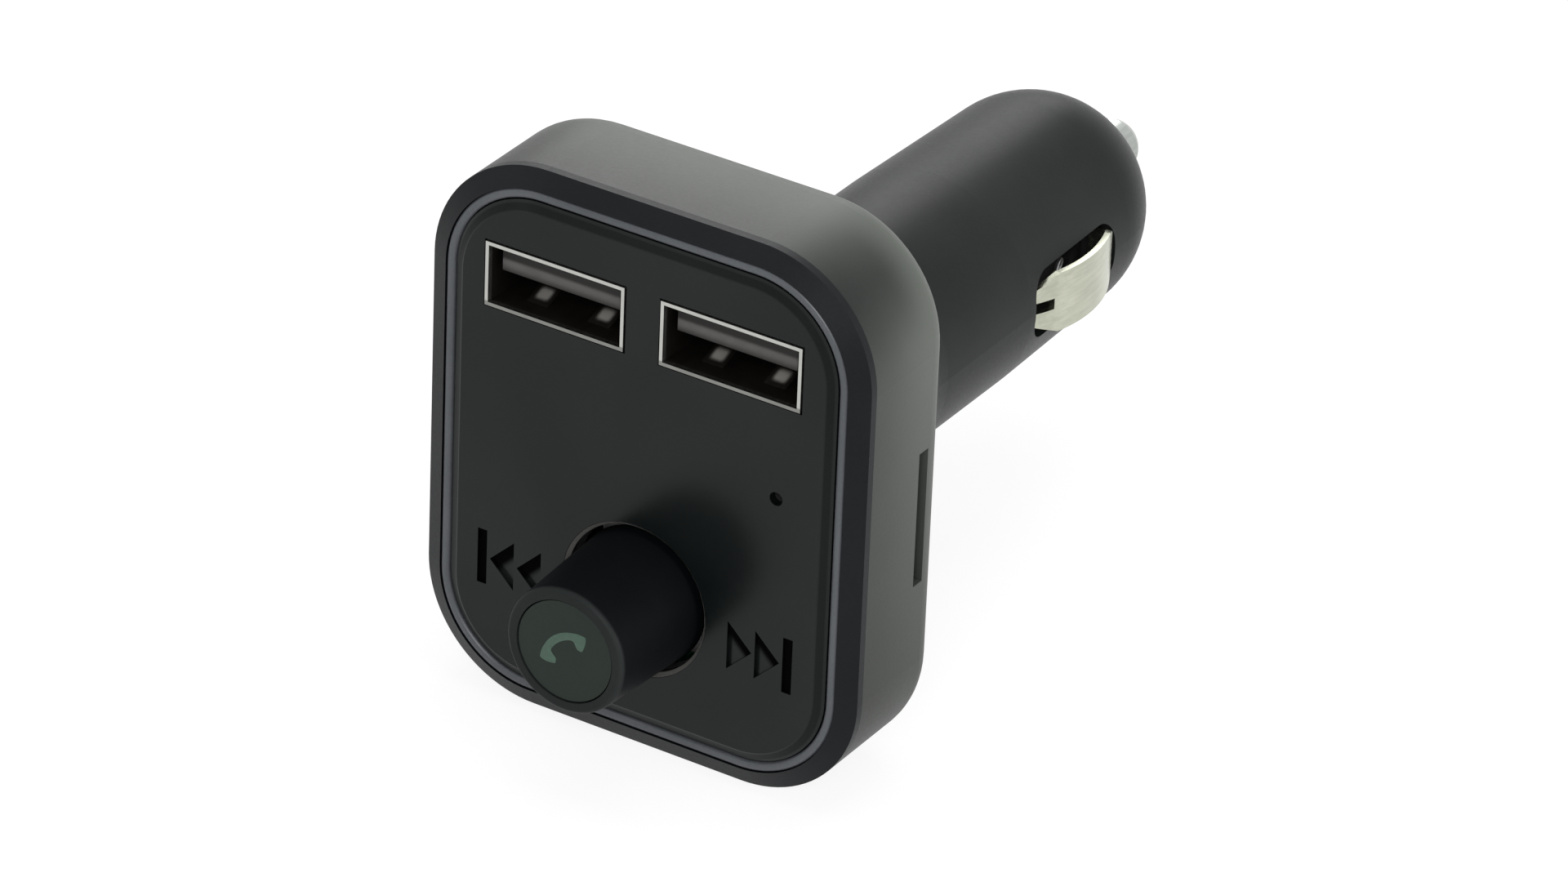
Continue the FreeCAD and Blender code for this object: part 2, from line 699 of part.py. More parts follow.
def make_usb_port(side, sign):
    """One charging port: a folded shell with two spring tabs, its tongue and four contact strips."""
    centre = (f"{sign} * {USB_SPACING} / 2", "0", "face_rise + usb_rise")
    mouth = "-overlay_proud - usb_proud"
    shell = new_body(f"usb_shell_{side}")
    wall = sketch(shell, "XZ", behind(mouth))
    rectangle(wall, "usb_width", "usb_height")
    rectangle(wall, "usb_width - 2 * usb_sheet", "usb_height - 2 * usb_sheet")
    pad_back(shell, wall, f"{BOARD_FRONT} - ({mouth})")
    floor = "-usb_height / 2 + usb_sheet"
    for tab in (-1, 1):
        ramp = sketch(shell, "YZ", f"{tab} * tab_spread - tab_width / 2")
        low = f"{floor} - usb_sheet / 2"
        outline(ramp, ((behind(f"{mouth} + tab_start"), low),
                       (behind(f"{mouth} + tab_start + tab_length"), low),
                       (behind(f"{mouth} + tab_start + tab_length * 0.7"), f"{floor} + tab_height")))
        pad(shell, ramp, "tab_width")
    tongue = new_body(f"usb_tongue_{side}")
    block_front = f"{BOARD_FRONT} - usb_block_depth"
    block = rectangle(sketch(tongue, "XZ", behind(block_front)), "usb_width - 2 * usb_sheet - 2 * usb_fit",
                      "usb_height - 2 * usb_sheet - 2 * usb_fit")
    pad_back(tongue, block, "usb_block_depth")
    under = "tongue_lift"
    blade = rectangle(sketch(tongue, "XZ", behind(f"{mouth} + tongue_setback")), "tongue_width",
                      "tongue_thickness", "0", f"{under} + tongue_thickness / 2")
    pad_back(tongue, blade, f"{block_front} - ({mouth}) - tongue_setback")
    strips = []
    strip_start = f"{mouth} + tongue_setback + pad_setback"
    for column in (-1.5, -0.5, 0.5, 1.5):
        strip = box(f"pad_{side}_{int(column * 2 + 3)}",
                    ("pad_width", f"{block_front} - ({strip_start})", "pad_sheet"),
                    (f"{centre[0]} + {column} * pad_pitch - pad_width / 2", behind(strip_start),
                     f"{centre[2]} + {under} - pad_sheet"))
        strips.append(strip)
    for item in (shell, tongue):
        place(item, *centre)
    return [shell, tongue, group(f"usb_contacts_{side}", strips)]


def make_key_switch(side, sign):
    """A push switch on the board, its plunger close behind a key lever."""
    body = new_body(f"key_switch_{side}")
    base_front = f"{BOARD_FRONT} - key_base"
    base = rectangle(sketch(body, "XZ", behind(base_front)), "key_width", "key_width")
    pad_back(body, base, "key_base")
    plunger = circle(sketch(body, "XZ", behind("ledge_depth + key_gap")), "key_plunger")
    pad_back(body, plunger, f"{base_front} - ledge_depth - key_gap")
    return place(body, f"{sign} * {KEY_SPREAD}", "0", "face_rise - key_drop")


def make_microphone():
    """The microphone capsule in a rubber boot behind its hole in the face."""
    seat = "ledge_depth"
    boot = new_body("mic_boot")
    turned(boot, (
        ("mic_hole", behind(seat)), ("mic_radius + boot_wall", behind(seat)),
        ("mic_radius + boot_wall", behind(f"{seat} + boot_lip + mic_depth")),
        ("mic_radius", behind(f"{seat} + boot_lip + mic_depth")),
        ("mic_radius", behind(f"{seat} + boot_lip")), ("mic_hole", behind(f"{seat} + boot_lip")),
    ))
    capsule = new_body("mic_capsule")
    disc = circle(sketch(capsule, "XZ", behind(f"{seat} + boot_lip")), "mic_radius")
    pad_back(capsule, disc, "mic_depth")
    for item in (boot, capsule):
        place(item, MIC_SHIFT, "0", "face_rise + mic_rise")
    return [boot, capsule]


def make_card_socket():
    """The memory card socket on the board, open towards the slot in the side wall."""
    outer = "head_width / 2 - head_wall - socket_edge_gap"
    inner = "encoder_width / 2 + socket_clear"
    length = f"({outer} - ({inner}))"
    middle = "face_rise - card_drop"
    width = "card_slot_width + 2 * socket_sheet"
    roof = f"{CARD_LINE} - card_slot_height / 2 - socket_sheet / 2"
    base = box("card_socket_base", (f"{length} - socket_sheet - socket_fit", "socket_base",
                                    "card_slot_width - 2 * socket_fit"),
               (f"{inner} + socket_sheet + socket_fit", behind(f"{BOARD_FRONT} - socket_base"),
                f"{middle} - card_slot_width / 2 + socket_fit"))
    cover = new_body("card_socket_cover")
    sheet_metal = rectangle(sketch(cover, "YZ", inner),
                            f"{BOARD_FRONT} - ({roof})", width,
                            behind(f"({BOARD_FRONT} + {roof}) / 2"), middle)
    pad(cover, sheet_metal, length)
    hollow = sketch(cover, "YZ", outer)
    rectangle(hollow, f"{BOARD_FRONT} - ({roof}) - socket_sheet", "card_slot_width",
              behind(f"({BOARD_FRONT} + {roof} + socket_sheet) / 2"), middle)
    pocket(cover, hollow, f"{length} - socket_sheet")
    return [base, cover]


def make_encoder():
    """The rotary encoder: a case with a bush, a rotor inside it, a switch dome and the shaft."""
    rotor_front = f"{ENCODER_FRONT} + encoder_roof"
    rotor_back = f"{rotor_front} + rotor_thickness + 2 * rotor_gap"
    shaft_end = f"{rotor_back} + shaft_tail"
    dome_front = f"{shaft_end} + press_travel + press_gap"
    case = new_body("encoder_case")
    block = rectangle(sketch(case, "XZ", behind(ENCODER_FRONT)), "encoder_width", "encoder_width")
    pad_back(case, block, "encoder_height")
    bush = circle(sketch(case, "XZ", behind(f"{ENCODER_FRONT} - bush_reach")), "bush_radius")
    pad_back(case, bush, "bush_reach")
    dome_back = f"{dome_front} + dome_thickness"
    turned(case, (
        ("0", behind(f"{ENCODER_FRONT} - bush_reach - 1")),
        ("shaft_radius + shaft_gap", behind(f"{ENCODER_FRONT} - bush_reach - 1")),
        ("shaft_radius + shaft_gap", behind(rotor_front)),
        ("rotor_radius + rotor_gap", behind(rotor_front)), ("rotor_radius + rotor_gap", behind(rotor_back)),
        ("dome_radius + rotor_gap", behind(rotor_back)), ("dome_radius + rotor_gap", behind(dome_back)),
        ("0", behind(dome_back)),
    ), kind="Groove")
    flat = "shaft_radius - shaft_flat"
    rotor = new_body("encoder_rotor")
    disc = sketch(rotor, "XZ", behind(f"{rotor_front} + rotor_gap"))
    circle(disc, "rotor_radius")
    keyed_section(disc, "shaft_radius + shaft_gap", f"{flat} + shaft_gap")
    pad_back(rotor, disc, "rotor_thickness")
    shaft = new_body("encoder_shaft")
    lens_back = "lens_setback + lens_thickness - knob_reach"
    shaft_front = f"{lens_back} + knob_top"
    round_end = f"{rotor_front} - press_travel - rotor_gap"
    upper = circle(sketch(shaft, "XZ", behind(shaft_front)), "shaft_radius")
    pad_back(shaft, upper, f"{round_end} - ({shaft_front})")
    lower = sketch(shaft, "XZ", behind(round_end))
    keyed_section(lower, "shaft_radius", flat)
    pad_back(shaft, lower, f"{shaft_end} - ({round_end})")
    dome = new_body("encoder_switch")
    cap = circle(sketch(dome, "XZ", behind(dome_front)), "dome_radius")
    pad_back(dome, cap, "dome_thickness")
    pieces = [case, rotor, shaft, dome]
    for item in pieces:
        place(item, "0", "0", "face_rise - knob_drop")
    return pieces


def keyed_section(item, radius, flat):
    """A round section with one flat, as the shaft has where the rotor drives it."""
    reach = f"sqrt(({radius}) ^ 2 - ({flat}) ^ 2)"
    low = f"({radius}) * sin(45)"
    corners = ((f"-{reach}", flat), (f"-{low}", f"-{low}"), (low, f"-{low}"), (reach, flat))
    return outline(item, corners, {0: (radius, 1), 1: (radius, 1), 2: (radius, 1)})


def make_knob():
    """The call knob, a tapered cap on the shaft, with a clear disc set in its front."""
    knob = new_body("knob_cap")
    front, back = behind("-knob_reach"), behind("knob_tuck")
    recess = behind("lens_setback + lens_thickness - knob_reach")
    hollow = behind("lens_setback + lens_thickness + knob_top - knob_reach")
    length = "(knob_reach + knob_tuck)"
    turned(knob, (
        ("0", recess), ("lens_radius + lens_gap", recess), ("lens_radius + lens_gap", front),
        ("knob_front - knob_round", front), ("knob_front", f"{front} + knob_round"), ("knob_base", back),
        ("knob_base - knob_wall", back), ("knob_front - knob_wall", hollow),
        ("knob_core", hollow), ("knob_core", f"{hollow} + {length} / 2"),
        ("shaft_radius + knob_core_gap", f"{hollow} + {length} / 2"),
        ("shaft_radius + knob_core_gap", hollow), ("0", hollow),
    ), {3: ("knob_round", 1)})
    lens = new_body("knob_lens")
    disc = circle(sketch(lens, "XZ", f"{front} + lens_setback"), "lens_radius")
    pad_back(lens, disc, "lens_thickness")
    for item in (knob, lens):
        place(item, "0", "0", "face_rise - knob_drop")
    return [knob, lens]


def make_power_board():
    """The supply board in the plug, with its header, choke, two capacitors and converter."""
    top = "-power_drop"
    under = f"{top} - power_thickness"
    length = f"{POWER_END} - ({POWER_START})"
    board = box("power_board", (POWER_WIDTH, length, "power_thickness"),
                (f"-{POWER_WIDTH} / 2", POWER_START, under))
    header = box("board_header", ("header_width", "header_size", "header_size"),
                 ("-header_width / 2", behind(BOARD_BACK), top))
    choke = new_body("choke_coil")
    turned_up(choke, (
        ("0", "0"), ("coil_radius", "0"), ("coil_radius", "coil_flange"), ("coil_core", "coil_flange"),
        ("coil_core", "coil_height - coil_flange"), ("coil_radius", "coil_height - coil_flange"),
        ("coil_radius", "coil_height"), ("0", "coil_height"),
    ))
    place(choke, "0", f"{POWER_START} + coil_place", top)
    cans = []
    for name, sign in (("can_left", -1), ("can_right", 1)):
        can = doc.addObject("Part::Cylinder", name)
        can.setExpression("Radius", bound("can_radius"))
        can.setExpression("Height", bound("can_length"))
        can.Placement.Rotation = FreeCAD.Rotation(FreeCAD.Vector(1, 0, 0), -90)
        cans.append(place(can, f"{sign} * can_spread", f"{POWER_START} + can_place", f"{top} + can_radius"))
    chip = box("converter_chip", ("converter_width", "converter_length", "converter_height"),
               ("-converter_width / 2", f"{POWER_START} + converter_place", f"{under} - converter_height"))
    return [board, header, choke, group("filter_capacitors", cans), chip]


def turned_up(body, corners):
    """A profile of radius and height turned about the body's Z axis."""
    profile = outline(sketch(body, "XZ"), corners)
    item = body.newObject("PartDesign::Revolution", f"{body.Name}_revolution")
    item.Profile = profile
    item.ReferenceAxis = (profile, ["V_Axis"])
    doc.recompute([item], True)
    return item


def contact_ear_top():
    """The height of a side contact's ears, close under the plug's wall."""
    return f"{PLUG_BORE} - contact_ear_gap"


def make_contact_carrier():
    """The insulating core of the plug: it holds the supply board, the centre spring and the side springs."""
    body = new_body("contact_carrier")
    bore = "tip_spring_radius + tip_spring_wire + spring_gap"
    spring_seat = f"{FLANGE_BACK} - tip_spring_length - rivet_head"
    throat = f"{FLANGE_BACK} - tip_travel - chamber_gap"
    turned(body, (
        ("rivet_shank", CARRIER_FRONT), (f"{PLUG_BORE} - carrier_gap", CARRIER_FRONT),
        (f"{PLUG_BORE} - carrier_gap", BORE_END), ("tip_flange + chamber_gap", BORE_END),
        ("tip_flange + chamber_gap", throat), (bore, throat), (bore, spring_seat),
        ("rivet_shank", spring_seat),
    ))
    floor = f"{contact_ear_top()} - contact_sheet - contact_travel - carrier_floor_gap"
    for away in (False, True):
        well = sketch(body, "YZ", f"-({floor})" if away else floor)
        rectangle(well, "contact_length + 2 * contact_ear + 2 * slot_gap", "contact_width + 2 * slot_gap",
                  "contact_centre", "0")
        pocket(body, well, "plug_radius", not away)
        hole = sketch(body, "YZ", "-side_spring_seat" if away else "side_spring_seat")
        circle(hole, "side_spring_radius + side_spring_wire + spring_gap", "contact_centre", "0")
        pocket(body, hole, "plug_radius", not away)
    board_slot = sketch(body, "XZ", CARRIER_FRONT)
    rectangle(board_slot, f"{POWER_WIDTH} + 2 * power_gap", "power_thickness + 2 * power_gap",
              "0", "-power_drop - power_thickness / 2")
    pocket(body, board_slot, "board_pocket")
    return body


def make_centre_contact():
    """The sprung centre contact, its spring and the rivet that carries the supply to the board."""
    tip = new_body("tip_contact")
    flange_front = f"{FLANGE_BACK} + tip_flange_thickness"
    end = f"{NOSE_END} + tip_reach"
    turned(tip, (
        ("0", f"{FLANGE_BACK} - tip_guide_length"), ("tip_guide", f"{FLANGE_BACK} - tip_guide_length"),
        ("tip_guide", FLANGE_BACK), ("tip_flange", FLANGE_BACK), ("tip_flange", flange_front),
        ("tip_radius", flange_front), ("tip_radius", f"{end} - tip_dome"), ("0", end),
    ), {6: ("(tip_radius ^ 2 + tip_dome ^ 2) / (2 * tip_dome)", 1)})
    seat = f"{FLANGE_BACK} - tip_spring_length"
    rivet = new_body("supply_rivet")
    turned(rivet, (
        ("0", POWER_END), ("rivet_shank", POWER_END), ("rivet_shank", f"{seat} - rivet_head"),
        ("tip_spring_radius + tip_spring_wire", f"{seat} - rivet_head"),
        ("tip_spring_radius + tip_spring_wire", seat), ("0", seat),
    ))
    spring_end = f"{FLANGE_BACK} - spring_end_gap"
    spring = coil("tip_spring", "tip_spring_radius", "tip_spring_wire", seat, spring_end, 4)
    lengthwise = FreeCAD.Rotation(FreeCAD.Vector(1, 0, 0), -90)
    spring.Placement = FreeCAD.Placement(FreeCAD.Vector(0, 0, 0), lengthwise)
    return [tip, rivet, spring]


def make_side_contact(side, sign):
    """One side contact: a bowed strip with a forked front and ears under the plug's wall, and its spring."""
    body = new_body(f"side_contact_{side}")
    half = "contact_length / 2"
    outer_bow = f"(({half}) ^ 2 + contact_rise ^ 2) / (2 * contact_rise)"
    shoulder = f"{CONTACT_CROWN} - contact_rise"
    inner_bow = f"{outer_bow} - contact_sheet"
    inner_half = f"{half} - contact_sheet"
    centre = f"{CONTACT_CROWN} - ({outer_bow})"
    inner_shoulder = f"{centre} + sqrt(({inner_bow}) ^ 2 - ({inner_half}) ^ 2)"
    ear_top, ear_tip = contact_ear_top(), f"{half} + contact_ear"
    foot = f"{ear_top} - contact_sheet"
    corners = [(ear_top, f"contact_centre - ({ear_tip})"), (ear_top, f"contact_centre - {half}"),
               (shoulder, f"contact_centre - {half}"), (shoulder, f"contact_centre + {half}"),
               (ear_top, f"contact_centre + {half}"), (ear_top, f"contact_centre + {ear_tip}"),
               (foot, f"contact_centre + {ear_tip}"), (foot, f"contact_centre + ({inner_half})"),
               (inner_shoulder, f"contact_centre + ({inner_half})"),
               (inner_shoulder, f"contact_centre - ({inner_half})"),
               (foot, f"contact_centre - ({inner_half})"), (foot, f"contact_centre - ({ear_tip})")]
    bows = {2: (outer_bow, 1), 8: (inner_bow, -1)}
    strip = outline(sketch(body, "XY", "-contact_width / 2"), corners, bows)
    pad(body, strip, "contact_width")
    plan = sketch(body, "YZ", f"{CONTACT_CROWN} + contact_sheet")
    rectangle(plan, "contact_length + 4 * contact_ear", "contact_width + 2", "contact_centre", "0")
    front, back = f"contact_centre - ({ear_tip})", f"contact_centre + {ear_tip}"
    narrow, wide = "contact_front_width / 2", "contact_width / 2"
    slope, bend = f"contact_centre - {half}", f"contact_centre + {half} - contact_round"
    tail = "contact_width / 2 - contact_round"
    outline(plan, (
        (front, f"-{narrow}"), (slope, f"-{narrow}"), (f"{slope} + contact_taper", f"-{wide}"),
        (bend, f"-{wide}"), (f"contact_centre + {half}", f"-({tail})"), (back, f"-({tail})"),
        (back, tail), (f"contact_centre + {half}", tail), (bend, wide),
        (f"{slope} + contact_taper", wide), (slope, narrow), (front, narrow),
    ), {3: ("contact_round", 1), 7: ("contact_round", 1)})
    pocket(body, plan, CONTACT_CROWN)
    notch = sketch(body, "YZ", f"{CONTACT_CROWN} + contact_sheet")
    rectangle(notch, "contact_ear + contact_notch_depth + 1", "contact_notch",
              f"{slope} - (contact_ear + 1 - contact_notch_depth) / 2", "0")
    pocket(body, notch, CONTACT_CROWN)
    spring_end = f"{CONTACT_CROWN} - contact_sheet - spring_end_gap"
    spring = coil(f"side_spring_{side}", "side_spring_radius", "side_spring_wire", "side_spring_seat",
                  spring_end, 2)
    lay = FreeCAD.Rotation(FreeCAD.Vector(0, 1, 0), 90 * sign)
    spring.Placement = FreeCAD.Placement(FreeCAD.Vector(0, number("contact_centre"), 0), lay)
    if sign < 0:
        body.Placement.Rotation = FreeCAD.Rotation(FreeCAD.Vector(0, 1, 0), 180)
    return [body, spring]


def make_all():
    """Every sub-part of the transmitter."""
    items = [make_rear_shell(), make_front_bezel(), make_trim_ring(), make_front_panel(),
             make_face_overlay(), make_main_board(), make_board_chips(), make_display_module(),
             make_contact_carrier()]
    items += make_microphone() + make_card_socket() + make_encoder() + make_knob()
    items += make_power_board() + make_centre_contact()
    for side, sign in (("left", -1), ("right", 1)):
        items += make_usb_port(side, sign) + make_side_contact(side, sign)
        items.append(make_key_switch(side, sign))
    return items


def main():
    """Build the document, test every object and write one file for each sub-part."""
    items = make_all()
    doc.recompute()
    for item in doc.Objects:
        if "Invalid" in item.State or "Error" in item.State:
            raise RuntimeError(f"{item.Label} did not build")
    for item in items:
        if item.Shape.isNull() or not item.Shape.isValid():
            raise RuntimeError(f"{item.Label} has no sound shape")
    os.makedirs("parts", exist_ok=True)
    for item in items:
        item.Shape.exportStep(os.path.join("parts", f"{item.Label}.step"))
        print(item.Label, len(item.Shape.Solids), round(item.Shape.Volume, 2))


main()
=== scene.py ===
"""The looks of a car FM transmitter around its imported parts.

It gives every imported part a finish, prints the handset on the call knob, winds the springs of the contacts,
and sets the floor, the light and the camera.
"""

import math

import bmesh
import bpy
import numpy as np
from mathutils import Matrix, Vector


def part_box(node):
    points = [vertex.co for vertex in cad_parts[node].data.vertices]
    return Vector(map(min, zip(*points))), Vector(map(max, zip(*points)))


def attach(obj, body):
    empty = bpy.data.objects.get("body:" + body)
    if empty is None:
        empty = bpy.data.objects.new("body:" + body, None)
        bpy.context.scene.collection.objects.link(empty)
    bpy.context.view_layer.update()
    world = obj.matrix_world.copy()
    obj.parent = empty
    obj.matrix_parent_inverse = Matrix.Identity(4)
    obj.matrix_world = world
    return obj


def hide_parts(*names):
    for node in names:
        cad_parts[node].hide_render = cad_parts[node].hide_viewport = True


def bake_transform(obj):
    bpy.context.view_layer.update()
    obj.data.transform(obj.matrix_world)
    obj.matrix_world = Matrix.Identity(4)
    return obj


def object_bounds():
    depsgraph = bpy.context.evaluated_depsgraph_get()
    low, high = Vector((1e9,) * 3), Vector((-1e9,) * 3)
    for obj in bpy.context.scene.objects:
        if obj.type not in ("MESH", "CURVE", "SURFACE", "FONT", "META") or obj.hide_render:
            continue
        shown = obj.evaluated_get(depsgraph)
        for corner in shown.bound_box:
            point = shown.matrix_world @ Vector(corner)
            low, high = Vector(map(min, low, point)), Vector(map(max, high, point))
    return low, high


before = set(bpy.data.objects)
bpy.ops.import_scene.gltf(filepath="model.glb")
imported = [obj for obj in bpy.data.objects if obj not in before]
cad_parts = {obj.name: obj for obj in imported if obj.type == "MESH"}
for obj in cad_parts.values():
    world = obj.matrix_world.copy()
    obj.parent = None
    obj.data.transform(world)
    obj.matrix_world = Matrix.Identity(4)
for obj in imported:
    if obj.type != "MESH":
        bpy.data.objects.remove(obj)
cad_low, cad_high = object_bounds()
MM = 0.001

# The photograph's view: angles in degrees, ways in metres, lens and sensor in millimetres
VIEW_AZIMUTH = 31.47
VIEW_ELEVATION = 29.70
VIEW_ROLL = 2.41
VIEW_DISTANCE = 0.69367
VIEW_ASIDE = 0.01128
VIEW_ABOVE = 0.003786
VIEW_LENS = 201.71
VIEW_SENSOR = 36.0
VIEW_NEAR, VIEW_FAR = 0.01, 20.0
FACE_CENTRE = (0.0, -30.0 * MM, 0.85 * MM)

# Soft lamps: name, place, side of the square and power in watts
LAMPS = (
    ("top_lamp", (0.0, 0.15, 1.1), 0.8, 8.0),
    ("back_lamp", (-0.6, 1.0, 0.7), 0.7, 4.8),
    ("side_lamp", (1.1, 0.0, 0.25), 0.6, 12.0),
    ("left_lamp", (-0.8, -0.6, 0.6), 0.6, 1.5),
    ("front_lamp", (0.34, -0.62, 0.40), 0.3, 4.0),
)
LAMP_AIM = (0.0, 0.0, 0.0)
WORLD_LEVEL = 0.4

# The floor: half its side, points along it, its way under the object and the share of it that looks white
FLOOR_HALF = 3.0
FLOOR_POINTS = 5
FLOOR_GAP = 0.2 * MM
FLOOR_WHITE = 0.86
FLOOR_CLOUDS = 3.0

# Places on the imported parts
HEAD_DEPTH = 12.6 * MM
HEAD_BACK = FACE_CENTRE[1] + HEAD_DEPTH
HEAD_HALF = 26.0 * MM
KNOB_AXIS_HEIGHT = -9.75 * MM
KNOB_HOLE = 6.5 * MM
LENS_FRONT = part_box("knob_lens")[0].y
KNOB_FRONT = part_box("knob_cap")[0].y
FACE_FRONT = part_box("face_overlay")[0].y
PORT_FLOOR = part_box("usb_shell_left")[0].z + 0.3 * MM
PORT_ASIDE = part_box("usb_shell_right")[0].x / 2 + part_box("usb_shell_right")[1].x / 2
PORT_LEVEL = (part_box("usb_shell_left")[0].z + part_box("usb_shell_left")[1].z) / 2
TAB_ASIDE = 2.9 * MM

# The engraved track marks: way from the middle to the first arrow, pitch, width and height, and their level
MARK_START = 8.9 * MM
MARK_PITCH = 2.6 * MM
MARK_WIDTH = 2.3 * MM
MARK_HEIGHT = 4.4 * MM
MARK_LEVEL = -10.75 * MM

# Textures: features to the metre, and heights of their relief
CLOUDS = 90.0
KNOB_CLOUDS = 160.0
FACE_CLOUDS = 70.0
TONGUE_CLOUDS = 700.0
BOARD_CLOUDS = 200.0
GRAIN = 3500.0
FINE_GRAIN = 5200.0
DRAWN_LINES = 2600.0
STAINS = 260.0
PORT_STAINS = 500.0
TRACK_CELLS = 420.0
INK_SPECKS = 2400.0
GRAIN_RELIEF = 0.006 * MM
FINE_RELIEF = 0.004 * MM
INK_RELIEF = 0.003 * MM
LINE_RELIEF = 0.002 * MM
TRACK_RELIEF = 0.02 * MM
FINE_ROUGHNESS = 0.6
MOTTLE_LOW, MOTTLE_HIGH = 0.3, 0.7
GRAIN_SWING, CLOUD_SWING = 0.16, 0.1

# Directions of drawing lines: the noise is stretched along the axis with the small number
EVEN = (1.0, 1.0, 1.0)
ALONG_X = (0.1, 1.0, 1.0)
ALONG_Y = (1.0, 0.1, 1.0)
LONG_Y = (1.0, 0.08, 1.0)

# The printed handset: half its arc, the arc's radius and tilt, its centre's way down and the ink's heights
HANDSET_SWEEP = math.radians(51.4)
HANDSET_TILT = math.radians(37.2)
HANDSET_RADIUS = 3.14 * MM
HANDSET_SINK = 1.96 * MM
HANDSET_ROWS, HANDSET_COLUMNS = 97, 13
BAR_HALF, EAR_SWELL, EAR_INSET = 0.34 * MM, 0.42 * MM, 0.36 * MM
EAR_START, EAR_SOFTNESS, EAR_ROUND = 0.62, 0.035, 0.08
INK_COAT, INK_SUNK = 0.03 * MM, 0.01 * MM

# The contacts' springs: packed spring, contact's body, axis, side where the wire starts, coil, wire and turns
SPRINGS = (
    ("tip_spring", "tip", (0.0, 1.0, 0.0), (1.0, 0.0, 0.0), 2.45 * MM, 0.3 * MM, 4),
    ("side_spring_right", "right_contact", (1.0, 0.0, 0.0), (0.0, 1.0, 0.0), 1.35 * MM, 0.22 * MM, 2),
    ("side_spring_left", "left_contact", (-1.0, 0.0, 0.0), (0.0, 1.0, 0.0), 1.35 * MM, 0.22 * MM, 2),
)
COIL_STEPS = 48
WIRE_POINTS = 13
AXIS_DIGITS = 4


class Shade:
    """A socket of a material's tree. Operators on it add Math nodes, and node() adds any other node."""

    def __init__(self, tree, socket=None):
        self.tree = tree
        self.socket = socket

    def node(self, kind, settings=None, sockets=None, output=0):
        """Adds a node: its settings first, then the values or links of its sockets; gives one output."""
        made = self.tree.nodes.new(kind)
        for name, value in (settings or {}).items():
            setattr(made, name, value)
        for name, value in (sockets or {}).items():
            if isinstance(value, Shade):
                self.tree.links.new(value.socket, made.inputs[name])
            else:
                made.inputs[name].default_value = value
        return Shade(self.tree, made.outputs[output] if len(made.outputs) else None)

    def maths(self, operation, first, second=0.0):
        """One Math node."""
        return self.node("ShaderNodeMath", {"operation": operation}, {0: first, 1: second})

    def __add__(self, other):
        return self.maths("ADD", self, other)

    def __radd__(self, other):
        return self.maths("ADD", other, self)

    def __sub__(self, other):
        return self.maths("SUBTRACT", self, other)

    def __rsub__(self, other):
        return self.maths("SUBTRACT", other, self)

    def __mul__(self, other):
        return self.maths("MULTIPLY", self, other)

    def __rmul__(self, other):
        return self.maths("MULTIPLY", other, self)

    def __abs__(self):
        return self.maths("ABSOLUTE", self)

    def step(self, low, high):
        """A smooth rise from 0 at low to 1 at high."""
        return self.node("ShaderNodeMapRange", {"interpolation_type": "SMOOTHSTEP"},
                         {"Value": self, "From Min": low, "From Max": high})

    def past(self, place, low, high):
        """A smooth rise from 0 to 1 between two ways past a place, in millimetres."""
        return self.step(place + low * MM, place + high * MM)

    def blend(self, low, high):
        """A mix of two colours, this value being the share of the second."""
        return self.node("ShaderNodeMix", {"data_type": "RGBA"}, {0: self, 6: low, 7: high}, 2)


def rgb(red, green, blue):
    """A linear colour."""
    return (red, green, blue, 1.0)


def grey(level):
    """A linear grey."""
    return rgb(level, level, level)


def new_tree(name):
    """An empty material and the start of its tree."""
    material = bpy.data.materials.new(name)
    material.use_nodes = True
    material.node_tree.nodes.clear()
    return material, Shade(material.node_tree)


def noise(start, place, scale, detail=2.0, roughness=0.5):
    """Cloudy noise about 0.5 at a place, with so many features to the metre."""
    return start.node("ShaderNodeTexNoise", None,
                      {"Vector": place, "Scale": scale, "Detail": detail, "Roughness": roughness})


def clouds_and_grain(start, place, clouds, grain, cloud_detail=3.0):
    """Soft clouds and a fine spark grain, both about 0.5."""
    return (noise(start, place, clouds, cloud_detail),
            noise(start, place, grain, roughness=FINE_ROUGHNESS))


def mottle(cloud, grain, cloud_share=0.7):
    """The share of the paler tone, from clouds and grain."""
    return (cloud * cloud_share + grain * (1.0 - cloud_share)).step(MOTTLE_LOW, MOTTLE_HIGH)


def waver(level, grain, cloud, grain_swing=GRAIN_SWING, cloud_swing=CLOUD_SWING):
    """A level that moves a little with grain and clouds."""
    return level + (grain - 0.5) * grain_swing + (cloud - 0.5) * cloud_swing


def principled(start, colour, roughness, metallic=0.0, relief=None, level=0.5):
    """One Principled shader; relief is a height in metres for Bump, level a plain specular level."""
    sockets = {"Base Color": colour, "Roughness": roughness, "Metallic": metallic,
               "Specular IOR Level": level}
    if relief is not None:
        sockets["Normal"] = start.node("ShaderNodeBump", None, {"Height": relief, "Distance": 1.0})
    return start.node("ShaderNodeBsdfPrincipled", None, sockets)


def mixed(start, share, first, second):
    """Two shaders, share being that of the second."""
    return start.node("ShaderNodeMixShader", None, {0: share, 1: first, 2: second})


def surface(start, shader):
    """Ends a material."""
    start.node("ShaderNodeOutputMaterial", None, {"Surface": shader})


def place_of(start, stretch=EVEN):
    """Object coordinates, stretched along the axes where a finish has a direction."""
    coordinates = start.node("ShaderNodeTexCoord", output=3)
    if stretch == EVEN:
        return coordinates
    return start.node("ShaderNodeMapping", None, {"Vector": coordinates, "Scale": stretch})


def axes_of(start, place):
    """The three coordinates of a place."""
    return [start.node("ShaderNodeSeparateXYZ", None, {0: place}, axis) for axis in range(3)]


